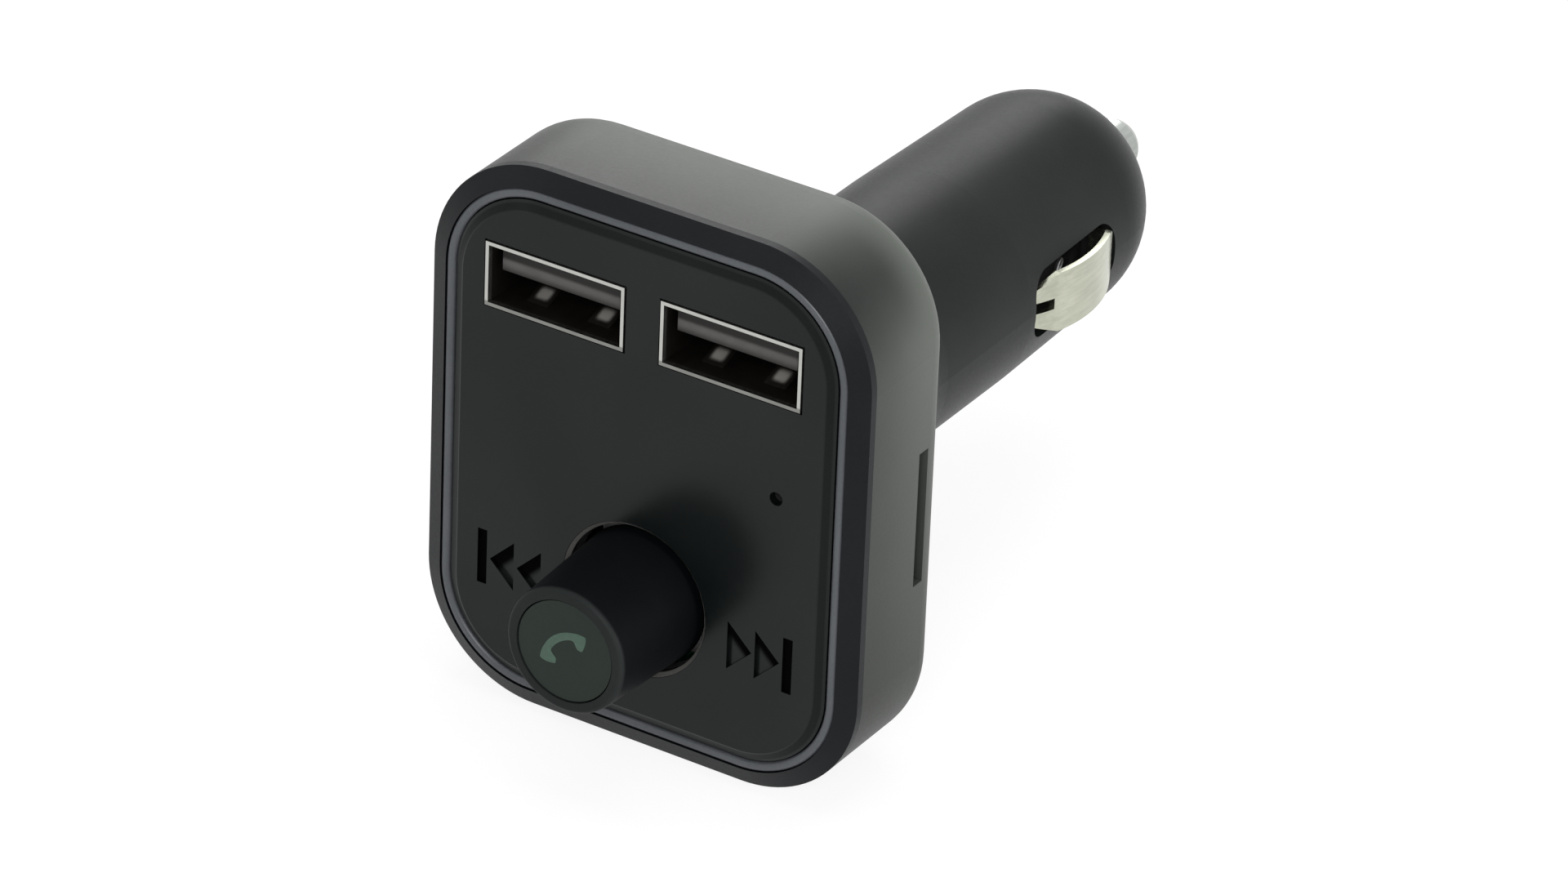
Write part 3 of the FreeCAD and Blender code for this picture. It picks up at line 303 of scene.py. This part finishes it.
def moulded(name, dark, light, gloss, grain=GRAIN, relief=GRAIN_RELIEF, level=0.5):
    """Moulded plastic: a fine spark texture, faint flow clouds in the colour and uneven gloss."""
    material, start = new_tree(name)
    cloud, spark = clouds_and_grain(start, place_of(start), CLOUDS, grain)
    colour = mottle(cloud, spark).blend(dark, light)
    surface(start, principled(start, colour, waver(gloss, spark, cloud), 0.0, spark * relief, level))
    return material


def brushed(name, dark, light, gloss, stretch, relief=LINE_RELIEF):
    """Plated sheet metal: drawing lines along one axis and soft stains in the gloss."""
    material, start = new_tree(name)
    lines = noise(start, place_of(start, stretch), DRAWN_LINES, 3.0, FINE_ROUGHNESS)
    stain = noise(start, place_of(start), STAINS, 3.0)
    colour = mottle(lines, stain, 0.5).blend(dark, light)
    roughness = waver(gloss, lines, stain, 0.18, 0.2)
    surface(start, principled(start, colour, roughness, 1.0, lines * relief))
    return material


def shell_finish(name):
    """The housing's moulding: a matt head, with painted light making it paler towards its top and back edges,
    and a smoother plug.

    The head's four corners carry painted shade: they are mixed towards the plug's darker, smoother shader, most
    of all near the face.
    """
    head_gloss, plug_gloss = 0.48, 0.4
    head_level, plug_level = 0.3, 0.125
    most_corner_shade = 0.75
    material, start = new_tree(name)
    place = place_of(start)
    x, along, height = axes_of(start, place)
    plug = along.past(HEAD_BACK, -0.5, 2.5)
    back = along.step(FACE_CENTRE[1], HEAD_BACK)
    upper = height.step(-HEAD_HALF, HEAD_HALF)
    cloud, spark = clouds_and_grain(start, place, CLOUDS, GRAIN)
    share = mottle(cloud, spark)
    relief = spark * GRAIN_RELIEF
    # Painted light: on top of the mottle, the head's colour grows paler towards its top and towards its back.
    paler = share * 0.1 + upper * 0.2 + back * (upper * 0.5 + 0.2)
    matt = paler.blend(rgb(0.004, 0.0055, 0.004), rgb(0.066, 0.072, 0.064))
    smooth = share.blend(rgb(0.005, 0.006, 0.0057), rgb(0.008, 0.0092, 0.0087))
    head_shader = principled(start, matt, waver(head_gloss, spark, cloud), 0.0, relief, head_level)
    plug_shader = principled(start, smooth, waver(plug_gloss, spark, cloud), 0.0, relief, plug_level)
    # Painted shade: the four corners are mixed towards the plug's darker shader, most of all near the face.
    corner = abs(x).past(0.0, 11.0, 17.5) * abs(height - FACE_CENTRE[2]).past(0.0, 15.0, 21.5)
    corner_shade = corner * (most_corner_shade - along.past(HEAD_BACK, -6.0, -1.0) * most_corner_shade)
    smoother = start.maths("MAXIMUM", plug, corner_shade)
    surface(start, mixed(start, smoother, head_shader, plug_shader))
    return material


def knob_finish(name):
    """The call knob: a very dark side and a paler front rim."""
    gloss, level = 0.5, 0.05
    material, start = new_tree(name)
    place = place_of(start)
    front = 1.0 - axes_of(start, place)[1].past(KNOB_FRONT, 0.05, 0.6)
    cloud, spark = clouds_and_grain(start, place, KNOB_CLOUDS, FINE_GRAIN)
    side = cloud.blend(rgb(0.0012, 0.0016, 0.002), rgb(0.0025, 0.003, 0.0036))
    rim = cloud.blend(rgb(0.009, 0.0105, 0.0105), rgb(0.016, 0.018, 0.0175))
    roughness = waver(gloss, spark, cloud)
    surface(start, principled(start, front.blend(side, rim), roughness, 0.0, spark * FINE_RELIEF, level))
    return material


def port_metal(name):
    """The folded port shells: bright on the lip, with painted shade on the lip's lower bar and all through the
    inside, and painted highlights on the tabs' crests.
    """
    lip_gloss, inside_gloss, line_swing = 0.3, 0.2, 0.15
    material, start = new_tree(name)
    place = place_of(start)
    x, depth, height = axes_of(start, place)
    inside = depth.past(FACE_FRONT, 0.05, 0.5)
    # Painted highlights: a small spot on each tab's crest, pale and not metallic.
    aside = abs(abs(x) - PORT_ASIDE) - TAB_ASIDE
    crest = 1.0 - abs(aside).past(0.0, 0.25, 0.8)
    crest = crest * height.past(PORT_FLOOR, 0.12, 0.35) * (1.0 - height.past(PORT_FLOOR, 0.5, 0.75))
    lines = noise(start, place_of(start, LONG_Y), DRAWN_LINES, 3.0, FINE_ROUGHNESS)
    stain = noise(start, place, PORT_STAINS, 3.0)
    # Painted shade: the lip's lower bar is dimmer, and past the lip the inside is dark.
    lower = 1.0 - height.past(PORT_FLOOR, 0.0, 0.2)
    upper_lip = stain.blend(rgb(0.40, 0.40, 0.38), rgb(0.54, 0.54, 0.51))
    shaded_lower_lip = stain.blend(rgb(0.19, 0.19, 0.18), rgb(0.27, 0.27, 0.255))
    bright = lower.blend(upper_lip, shaded_lower_lip)
    painted_shade = stain.blend(rgb(0.020, 0.017, 0.015), rgb(0.048, 0.042, 0.037))
    painted_glint = stain.blend(rgb(0.11, 0.105, 0.095), rgb(0.25, 0.24, 0.225))
    colour = (inside * (1.0 - crest)).blend(crest.blend(bright, painted_glint), painted_shade)
    roughness = lip_gloss + inside * inside_gloss + (lines - 0.5) * line_swing
    surface(start, principled(start, colour, roughness, 1.0 - crest, lines * LINE_RELIEF))
    return material


def tongue_finish(name):
    """The ports' tongues: grey plastic, with painted shade under the shell's roof and along the lower edge."""
    gloss, cloud_swing, level = 0.5, 0.2, 0.2
    material, start = new_tree(name)
    place = place_of(start)
    height = axes_of(start, place)[2]
    # Painted shade: dark under the shell's roof and along the lower edge.
    roof = height.past(PORT_LEVEL, 1.0, 1.4)
    foot = 1.0 - height.past(PORT_LEVEL, 0.0, 0.85)
    tongue_shade = start.maths("MAXIMUM", roof, foot)
    cloud = noise(start, place, TONGUE_CLOUDS)
    pale = cloud.blend(rgb(0.046, 0.044, 0.042), rgb(0.078, 0.074, 0.070))
    dark = cloud.blend(rgb(0.006, 0.0055, 0.005), rgb(0.010, 0.009, 0.0085))
    roughness = gloss + (cloud - 0.5) * cloud_swing
    surface(start, principled(start, tongue_shade.blend(pale, dark), roughness, 0.0, cloud * FINE_RELIEF, level))
    return material


def board_mask(name):
    """Green solder mask with copper tracks faintly raised under it."""
    gloss, cloud_swing = 0.35, 0.2
    material, start = new_tree(name)
    place = place_of(start)
    tracks = start.node("ShaderNodeTexVoronoi", {"distance": "CHEBYCHEV", "feature": "F1"},
                        {"Vector": place, "Scale": TRACK_CELLS})
    cloud = noise(start, place, BOARD_CLOUDS)
    raised = tracks.step(0.25, 0.35)
    colour = raised.blend(rgb(0.015, 0.09, 0.04), rgb(0.02, 0.16, 0.07))
    roughness = gloss + (cloud - 0.5) * cloud_swing
    surface(start, principled(start, colour, roughness, 0.0, raised * TRACK_RELIEF))
    return material


def painted_mark_shadow(start, x, z):
    """Where painted shadow fills the engraved marks with near black: along their upper edges, and on their
    bars.

    On each arrow that is where the way down from its sloping upper edge is short. The edge falls by the
    arrow's half height over the arrow's width. The bar follows the second arrow.
    """
    aside, rise = abs(x) - MARK_START, z - MARK_LEVEL
    arrow = start.maths("MODULO", aside, MARK_PITCH)
    below = (MARK_HEIGHT / 2) * (1.0 - arrow * (1.0 / MARK_WIDTH)) - rise
    upper = 1.0 - below.past(0.0, 1.1, 2.0)
    bar = aside.past(2.0 * MARK_PITCH, -0.2, -0.1)
    marks = aside.past(0.0, -0.4, -0.3) * (1.0 - abs(rise).past(0.0, 2.7, 2.8))
    marks = marks * (1.0 - aside.past(0.0, 6.4, 6.5))
    return marks * start.maths("MAXIMUM", upper, bar)


def face_finish(name):
    """The smoked face: near black and half glossy, with painted shadow in the engraved marks, painted shade on
    the walls of its recesses, and a painted highlight on the edge of the knob's hole.
    """
    gloss, level = 0.24, 0.2
    grain_swing, cloud_swing = 0.1, 0.08
    wall_share, shadow_roughness = 0.4, 0.9
    material, start = new_tree(name)
    place = place_of(start)
    x, depth, z = axes_of(start, place)
    # Painted shadow along the marks' upper edges and bars, and painted shade on the walls of the face's
    # recesses.
    mark_shadow = painted_mark_shadow(start, x, z)
    floor = depth.past(FACE_FRONT, 0.3, 0.38)
    wall = depth.past(FACE_FRONT, 0.02, 0.08) - floor
    drop = z - KNOB_AXIS_HEIGHT
    hole = 1.0 - start.maths("SQRT", x * x + drop * drop).past(KNOB_HOLE, 0.4, 0.6)
    # Painted highlight: a paler ring on the edge of the knob's hole.
    bevel = hole * depth.past(FACE_FRONT, 0.01, 0.06) * (1.0 - floor)
    shaded = floor * mark_shadow + wall * (wall_share + mark_shadow * (1.0 - wall_share))
    painted_shade = start.maths("MINIMUM", shaded, 1.0) * (1.0 - hole)
    cloud, spark = clouds_and_grain(start, place, FACE_CLOUDS, FINE_GRAIN, 2.0)
    smoked = mottle(cloud, spark, 0.8).blend(rgb(0.0025, 0.0036, 0.0036), rgb(0.0050, 0.0064, 0.0062))
    edge_highlight = spark.blend(rgb(0.055, 0.055, 0.052), rgb(0.115, 0.112, 0.105))
    roughness = waver(gloss, spark, cloud, grain_swing, cloud_swing)
    glossy = principled(start, bevel.blend(smoked, edge_highlight), roughness, 0.0, spark * LINE_RELIEF, level)
    shadow_black = principled(start, spark.blend(grey(0.001), grey(0.002)), shadow_roughness, level=0.0)
    surface(start, mixed(start, painted_shade, glossy, shadow_black))
    return material


def ink(name, dark, light):
    """Printed ink with a slightly uneven coat."""
    gloss, speck_swing = 0.5, 0.2
    material, start = new_tree(name)
    speck = noise(start, place_of(start), INK_SPECKS)
    roughness = gloss + (speck - 0.5) * speck_swing
    surface(start, principled(start, speck.blend(dark, light), roughness, 0.0, speck * INK_RELIEF))
    return material


# Finishes: name, darker and paler tone, gloss and, on metal, the direction of its lines
CHIP = moulded("chip_black", rgb(0.012, 0.012, 0.013), rgb(0.02, 0.02, 0.021), 0.5)
MASK = board_mask("board_green")
SPRING = brushed("spring_steel", grey(0.4), grey(0.55), 0.35, EVEN)
NICKEL = brushed("contact_nickel", rgb(0.42, 0.43, 0.35), rgb(0.54, 0.55, 0.45), 0.24, LONG_Y, 0.001 * MM)
PORT_SHELL = port_metal("port_steel")
PORT_GOLD = brushed("port_gold", rgb(0.5, 0.38, 0.16), rgb(0.7, 0.56, 0.28), 0.3, ALONG_Y)
TONGUE = tongue_finish("port_grey")
SWITCH = moulded("switch_black", grey(0.012), grey(0.02), 0.5)
FINISHES = {
    "rear_shell": shell_finish("shell_black"),
    "front_bezel": moulded("bezel_black", rgb(0.002, 0.0025, 0.0033), rgb(0.0035, 0.0042, 0.0052), 0.42,
                           level=0.14),
    "trim_ring": moulded("trim_grey", rgb(0.040, 0.044, 0.050), rgb(0.060, 0.065, 0.072), 0.4, level=0.4),
    "front_panel": moulded("panel_black", grey(0.01), grey(0.016), 0.6),
    "face_overlay": face_finish("face_black"),
    "knob_cap": knob_finish("knob_black"),
    "knob_lens": moulded("lens_dark", rgb(0.004, 0.009, 0.006), rgb(0.007, 0.013, 0.009), 0.38,
                         FINE_GRAIN, FINE_RELIEF, 0.2),
    "tip_contact": brushed("tip_nickel", rgb(0.34, 0.36, 0.34), rgb(0.46, 0.48, 0.46), 0.3, ALONG_Y),
    "tip_spring": SPRING,
    "supply_rivet": brushed("rivet_brass", rgb(0.5, 0.36, 0.14), rgb(0.66, 0.5, 0.22), 0.35, ALONG_Y),
    "mic_boot": moulded("mic_rubber", grey(0.008), grey(0.014), 0.8),
    "mic_capsule": brushed("mic_silver", grey(0.4), grey(0.5), 0.4, EVEN),
    "card_socket_cover": brushed("socket_steel", grey(0.1), grey(0.2), 0.4, ALONG_X),
    "card_socket_base": moulded("socket_black", grey(0.006), grey(0.012), 0.6),
    "encoder_case": brushed("encoder_steel", grey(0.3), grey(0.42), 0.4, ALONG_Y),
    "encoder_rotor": moulded("encoder_black", grey(0.012), grey(0.02), 0.5),
    "encoder_switch": brushed("switch_steel", grey(0.5), grey(0.6), 0.3, EVEN),
    "encoder_shaft": brushed("shaft_steel", grey(0.45), grey(0.58), 0.35, ALONG_Y),
    "main_board": MASK,
    "power_board": MASK,
    "board_chips": CHIP,
    "converter_chip": CHIP,
    "display_module": moulded("display_dark", rgb(0.006, 0.006, 0.007), rgb(0.012, 0.012, 0.013), 0.25),
    "board_header": moulded("header_black", grey(0.01), grey(0.016), 0.5),
    "choke_coil": moulded("choke_dark", rgb(0.03, 0.026, 0.022), rgb(0.05, 0.044, 0.038), 0.6),
    "filter_capacitors": brushed("can_silver", rgb(0.45, 0.45, 0.47), rgb(0.6, 0.6, 0.62), 0.35, ALONG_Y),
    "contact_carrier": moulded("carrier_black", grey(0.012), grey(0.02), 0.55),
}
for side in ("left", "right"):
    FINISHES.update({
        f"usb_shell_{side}": PORT_SHELL, f"usb_tongue_{side}": TONGUE, f"usb_contacts_{side}": PORT_GOLD,
        f"key_switch_{side}": SWITCH, f"side_contact_{side}": NICKEL, f"side_spring_{side}": SPRING,
    })


def dress_nodes():
    """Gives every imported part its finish."""
    for name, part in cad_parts.items():
        part.data.materials.clear()
        part.data.materials.append(FINISHES[name])


def grid_mesh(name, points, material):
    """A piece from a grid of points; points that meet, at a seam or a pole, become one."""
    rows, columns = points.shape[:2]
    index = np.arange(rows * columns).reshape(rows, columns)
    corners = [index[:-1, :-1], index[1:, :-1], index[1:, 1:], index[:-1, 1:]]
    quads = np.stack(corners, -1).reshape(-1, 4)
    mesh = bpy.data.meshes.new(name)
    mesh.from_pydata(points.reshape(-1, 3).tolist(), [], quads.tolist())
    joined = bmesh.new()
    joined.from_mesh(mesh)
    bmesh.ops.remove_doubles(joined, verts=joined.verts, dist=1e-8)
    bmesh.ops.dissolve_degenerate(joined, edges=joined.edges, dist=1e-9)
    joined.to_mesh(mesh)
    joined.free()
    mesh.shade_smooth()
    mesh.materials.append(material)
    piece = bpy.data.objects.new(name, mesh)
    bpy.context.scene.collection.objects.link(piece)
    return piece


def handset_points():
    """The printed handset: a bowed bar along an arc, whose half width swells at both ends.

    Along the arc, t runs from -1 to 1 and the direction turns by twice the sweep. Across it, s runs over the
    section from one edge over the crown of the ink to the other. A point is the arc point plus the half
    width at t times sin(s) to the side and the ink's height times cos(s) to the front.
    """
    along = np.sin(np.linspace(-math.pi / 2, math.pi / 2, HANDSET_ROWS))[:, None]
    across = np.linspace(-math.pi / 2, math.pi / 2, HANDSET_COLUMNS)[None, :]
    ear = 1.0 / (1.0 + np.exp(-(np.abs(along) - EAR_START) / EAR_SOFTNESS))
    closed = np.sqrt(1.0 - (1.0 - np.clip((1.0 - np.abs(along)) / EAR_ROUND, 0.0, 1.0)) ** 2)
    width = (BAR_HALF + EAR_SWELL * ear) * closed
    angle = HANDSET_TILT + along * HANDSET_SWEEP
    reach = HANDSET_RADIUS - EAR_INSET * ear + width * np.sin(across)
    x = -np.sin(angle) * reach + math.sin(HANDSET_TILT) * HANDSET_SINK
    z = np.cos(angle) * reach - math.cos(HANDSET_TILT) * HANDSET_SINK
    y = np.broadcast_to(LENS_FRONT + INK_SUNK - (INK_COAT + INK_SUNK) * np.cos(across), x.shape)
    return np.stack([x, y, z + KNOB_AXIS_HEIGHT], -1)


def print_handset():
    """The call symbol on the knob's disc."""
    green = ink("handset_green", rgb(0.012, 0.036, 0.022), rgb(0.030, 0.068, 0.046))
    handset = grid_mesh("handset_print", handset_points(), green)
    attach(handset, "knob")


def spring_points(axis, side, foot, head, radius, wire, turns):
    """A coil spring: a round wire section carried along a helix between two points on its axis.

    With t from 0 to 1, the helix is the foot plus the rise times t along the axis, plus the radius times
    (side * cos + other * sin) of t times all turns. The section is the wire's radius times (cos s outwards
    plus sin s along the axis), and shrinks to a point at both ends.
    """
    other = np.cross(axis, side)
    rise = np.linalg.norm(head - foot) - 2.0 * wire
    share = np.concatenate([[0.0], np.linspace(0.0, 1.0, COIL_STEPS * turns + 1), [1.0]])[:, None, None]
    closed = np.ones_like(share)
    closed[[0, -1]] = 0.0
    turn = 2.0 * math.pi * turns * share
    around = np.linspace(0.0, 2.0 * math.pi, WIRE_POINTS)[None, :, None]
    outwards = side * np.cos(turn) + other * np.sin(turn)
    section = wire * closed * (outwards * np.cos(around) + axis * np.sin(around))
    return foot + axis * (wire + rise * share) + radius * outwards + section


def coil_spring(node, body, axis, side, radius, wire, turns):
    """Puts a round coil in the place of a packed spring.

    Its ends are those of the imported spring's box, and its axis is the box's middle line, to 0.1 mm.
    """
    low, high = (np.array(corner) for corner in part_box(node))
    along, middle = np.array(axis), (low + high) / 2
    centre = np.where(along == 0.0, np.round(middle, AXIS_DIGITS), middle)
    flat = centre - along * (high - low) / 2
    top = centre + along * (high - low) / 2
    points = spring_points(along, np.array(side), flat, top, radius, wire, turns)
    coil = grid_mesh(f"{node}_coil", points, SPRING)
    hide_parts(node)
    flat + along * 2.0 * wire
    top - along * 2.0 * wire
    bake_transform(coil)


def fit_springs():
    """The three contact springs."""
    for spring in SPRINGS:
        coil_spring(*spring)


def pale_share(start, inner, outer):
    """The outer value for rays seen straight, in a mirror or through glass, the inner for other light."""
    path = start.tree.nodes.new("ShaderNodeLightPath")
    seen = [Shade(start.tree, path.outputs[name])
            for name in ("Is Camera Ray", "Is Glossy Ray", "Is Transmission Ray")]
    return start.maths("MINIMUM", seen[0] + seen[1] + seen[2], 1.0) * (outer - inner) + inner


def lay_floor():
    """A flat square under the object, x and y running from -half to half, that keeps a soft shadow."""
    across = np.linspace(-FLOOR_HALF, FLOOR_HALF, FLOOR_POINTS)
    x, y = np.meshgrid(across, across, indexing="xy")
    material, start = new_tree("floor_pale")
    tone = noise(start, place_of(start), FLOOR_CLOUDS)
    diffuse = start.node("ShaderNodeBsdfDiffuse", None, {"Color": tone.blend(grey(0.86), grey(0.9))})
    glow = start.node("ShaderNodeEmission", None, {"Color": grey(1.0), "Strength": 1.0})
    surface(start, mixed(start, pale_share(start, 0.0, FLOOR_WHITE), diffuse, glow))
    floor = grid_mesh("floor", np.stack([y, x, np.full_like(x, cad_low.z - FLOOR_GAP)], -1), material)


def light_world():
    """A pale surround that lights everything a little."""
    world = bpy.data.worlds.new("studio")
    bpy.context.scene.world = world
    world.use_nodes = True
    world.node_tree.nodes.clear()
    start = Shade(world.node_tree)
    back = start.node("ShaderNodeBackground", None,
                      {"Color": grey(1.0), "Strength": pale_share(start, WORLD_LEVEL, 1.0)})
    start.node("ShaderNodeOutputWorld", None, {"Surface": back})


def matrix_of(side, up, back, place):
    """A turn and a place from three axes."""
    turned = np.eye(4)
    turned[:3, :3] = np.stack([side, up, back], 1)
    turned[:3, 3] = place
    return Matrix(turned.tolist())


def soft_lamp(name, place, size, power):
    """A square lamp at a place, turned to the lamps' aim."""
    lamp = bpy.data.lights.new(name, "AREA")
    lamp.size = size
    lamp.energy = power
    holder = bpy.data.objects.new(name, lamp)
    bpy.context.scene.collection.objects.link(holder)
    away = np.array(place) - np.array(LAMP_AIM)
    back = away / np.linalg.norm(away)
    side = np.cross((0.0, 0.0, 1.0), back)
    side /= np.linalg.norm(side)
    holder.matrix_world = matrix_of(side, np.cross(back, side), back, place)


def set_camera():
    """The photograph's view: right and forward follow the two angles, and the camera rolls a little."""
    azimuth, elevation, roll = (math.radians(a) for a in (VIEW_AZIMUTH, VIEW_ELEVATION, VIEW_ROLL))
    right = np.array([math.cos(azimuth), math.sin(azimuth), 0.0])
    level = np.array([-math.sin(azimuth), math.cos(azimuth), 0.0])
    forward = level * math.cos(elevation) - np.array([0.0, 0.0, math.sin(elevation)])
    up = np.cross(right, forward)
    place = np.array(FACE_CENTRE) + VIEW_ASIDE * right + VIEW_ABOVE * up - VIEW_DISTANCE * forward
    rolled_right = math.cos(roll) * right + math.sin(roll) * up
    rolled_up = math.cos(roll) * up - math.sin(roll) * right
    data = bpy.data.cameras.new("camera")
    data.sensor_fit = "HORIZONTAL"
    data.sensor_width = VIEW_SENSOR
    data.lens = VIEW_LENS
    data.clip_start, data.clip_end = VIEW_NEAR, VIEW_FAR
    camera = bpy.data.objects.new("camera", data)
    bpy.context.scene.collection.objects.link(camera)
    camera.matrix_world = matrix_of(rolled_right, rolled_up, -forward, place)
    bpy.context.scene.camera = camera


dress_nodes()
print_handset()
fit_springs()
lay_floor()
light_world()
for lamp in LAMPS:
    soft_lamp(*lamp)
set_camera()
bpy.context.scene.view_settings.view_transform = "Standard"
